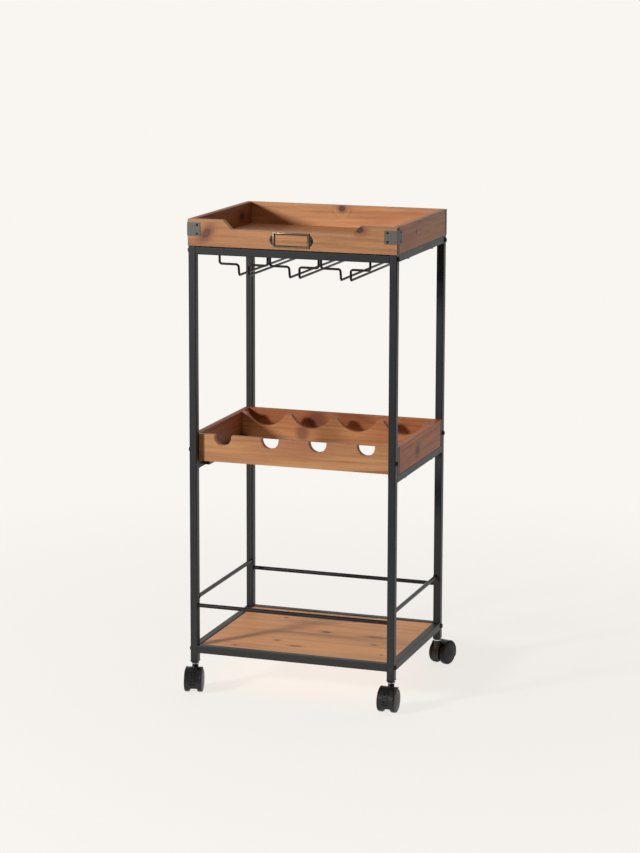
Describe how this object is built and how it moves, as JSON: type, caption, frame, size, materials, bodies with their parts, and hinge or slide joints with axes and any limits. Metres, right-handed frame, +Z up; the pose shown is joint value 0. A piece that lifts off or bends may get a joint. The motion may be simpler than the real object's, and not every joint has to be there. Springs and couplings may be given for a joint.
{
  "type": "bar cart",
  "caption": "Rolling bar cart: steel frame, wooden tray top with a lowered front, bottle rack, hanging glass rack, guarded bottom shelf and swivel casters with brakes.",
  "frame": {"origin": "on the floor under the middle of the frame", "axes": "+X to the user's right, +Y to the back, +Z up"},
  "size_m": [0.4654, 0.4098, 0.9355],
  "materials": {
    "powder_coat": "satin charcoal powder coat with a fine grain",
    "black_wire": "semi-gloss black coat",
    "board_wood": "warm brown stained softwood with knots, satin lacquer",
    "shelf_wood": "edge-glued softwood strips, satin lacquer",
    "plate_steel": "dull grey antique plate",
    "black_fixings": "black oxide",
    "aged_brass": "aged, darkened in the hollows",
    "zinc_steel": "bright zinc plate",
    "black_plastic": "fine moulded grain",
    "wheel_plastic": "smooth moulded nylon"
  },
  "bodies": {
    "cart": {"upper_post_fl": "powder_coat", "upper_post_fr": "powder_coat", "upper_post_rl": "powder_coat", "upper_post_rr": "powder_coat", "lower_post_fl": "powder_coat", "lower_post_fr": "powder_coat", "lower_post_rl": "powder_coat", "lower_post_rr": "powder_coat", "top_long_rails": "powder_coat", "top_side_rails": "powder_coat", "rack_side_rails": "powder_coat", "shelf_long_rails": "powder_coat", "shelf_side_rails": "powder_coat", "long_guards": "powder_coat", "side_guards": "powder_coat", "shelf_tabs": "powder_coat", "glass_hanger_left": "black_wire", "glass_hanger_middle": "black_wire", "glass_hanger_right": "black_wire", "tray_front": "board_wood", "tray_back": "board_wood", "tray_left": "board_wood", "tray_right": "board_wood", "tray_floor": "board_wood", "rack_front": "board_wood", "rack_saddle": "board_wood", "rack_back": "board_wood", "rack_left": "board_wood", "rack_right": "board_wood", "rack_cleats": "board_wood", "shelf_panel": "shelf_wood", "corner_plates": "plate_steel", "plate_rivets": "black_fixings", "frame_bolts": "black_fixings", "label_holder": "aged_brass", "label_screws": "aged_brass", "wood_screws": "zinc_steel", "caster_stems": "zinc_steel", "post_splices": "zinc_steel", "rail_nuts": "zinc_steel", "post_plugs": "black_plastic"},
    "caster_fl": {"caster_hood_fl": "black_plastic", "caster_axle_fl": "zinc_steel"},
    "wheel_a_fl": {"wheel_a_fl": "wheel_plastic"},
    "wheel_b_fl": {"wheel_b_fl": "wheel_plastic"},
    "brake_pedal_fl": {"brake_pedal_fl": "black_plastic"},
    "caster_fr": {"caster_hood_fr": "black_plastic", "caster_axle_fr": "zinc_steel"},
    "wheel_a_fr": {"wheel_a_fr": "wheel_plastic"},
    "wheel_b_fr": {"wheel_b_fr": "wheel_plastic"},
    "brake_pedal_fr": {"brake_pedal_fr": "black_plastic"},
    "caster_rl": {"caster_hood_rl": "black_plastic", "caster_axle_rl": "zinc_steel"},
    "wheel_a_rl": {"wheel_a_rl": "wheel_plastic"},
    "wheel_b_rl": {"wheel_b_rl": "wheel_plastic"},
    "caster_rr": {"caster_hood_rr": "black_plastic", "caster_axle_rr": "zinc_steel"},
    "wheel_a_rr": {"wheel_a_rr": "wheel_plastic"},
    "wheel_b_rr": {"wheel_b_rr": "wheel_plastic"}
  },
  "joints": [
    {"name": "swivel_fl", "type": "hinge", "parent": "cart", "child": "caster_fl", "pos_m": [-0.2025, -0.1585, 0.041], "axis": [0, 0, 1], "continuous": true},
    {"name": "roll_a_fl", "type": "hinge", "parent": "caster_fl", "child": "wheel_a_fl", "pos_m": [-0.19845, -0.17604, 0.0235], "axis": [0.9744, 0.225, 0], "continuous": true},
    {"name": "roll_b_fl", "type": "hinge", "parent": "caster_fl", "child": "wheel_b_fl", "pos_m": [-0.19845, -0.17604, 0.0235], "axis": [0.9744, 0.225, 0], "continuous": true},
    {"name": "brake_fl", "type": "hinge", "parent": "caster_fl", "child": "brake_pedal_fl", "pos_m": [-0.19404, -0.19515, 0.03127], "axis": [0.9744, 0.225, 0], "range_deg": [0, 8]},
    {"name": "swivel_fr", "type": "hinge", "parent": "cart", "child": "caster_fr", "pos_m": [0.2025, -0.1585, 0.041], "axis": [0, 0, 1], "continuous": true},
    {"name": "roll_a_fr", "type": "hinge", "parent": "caster_fr", "child": "wheel_a_fr", "pos_m": [0.2025, -0.1765, 0.0235], "axis": [1, 0, 0], "continuous": true},
    {"name": "roll_b_fr", "type": "hinge", "parent": "caster_fr", "child": "wheel_b_fr", "pos_m": [0.2025, -0.1765, 0.0235], "axis": [1, 0, 0], "continuous": true},
    {"name": "brake_fr", "type": "hinge", "parent": "caster_fr", "child": "brake_pedal_fr", "pos_m": [0.2025, -0.19612, 0.03127], "axis": [1, 0, 0], "range_deg": [0, 8]},
    {"name": "swivel_rl", "type": "hinge", "parent": "cart", "child": "caster_rl", "pos_m": [-0.2025, 0.1585, 0.041], "axis": [0, 0, 1], "continuous": true},
    {"name": "roll_a_rl", "type": "hinge", "parent": "caster_rl", "child": "wheel_a_rl", "pos_m": [-0.20866, 0.17541, 0.0235], "axis": [-0.9397, -0.342, 0], "continuous": true},
    {"name": "roll_b_rl", "type": "hinge", "parent": "caster_rl", "child": "wheel_b_rl", "pos_m": [-0.20866, 0.17541, 0.0235], "axis": [-0.9397, -0.342, 0], "continuous": true},
    {"name": "swivel_rr", "type": "hinge", "parent": "cart", "child": "caster_rr", "pos_m": [0.2025, 0.1585, 0.041], "axis": [0, 0, 1], "continuous": true},
    {"name": "roll_a_rr", "type": "hinge", "parent": "caster_rr", "child": "wheel_a_rr", "pos_m": [0.20866, 0.17541, 0.0235], "axis": [-0.9397, 0.342, 0], "continuous": true},
    {"name": "roll_b_rr", "type": "hinge", "parent": "caster_rr", "child": "wheel_b_rr", "pos_m": [0.20866, 0.17541, 0.0235], "axis": [-0.9397, 0.342, 0], "continuous": true}
  ]
}
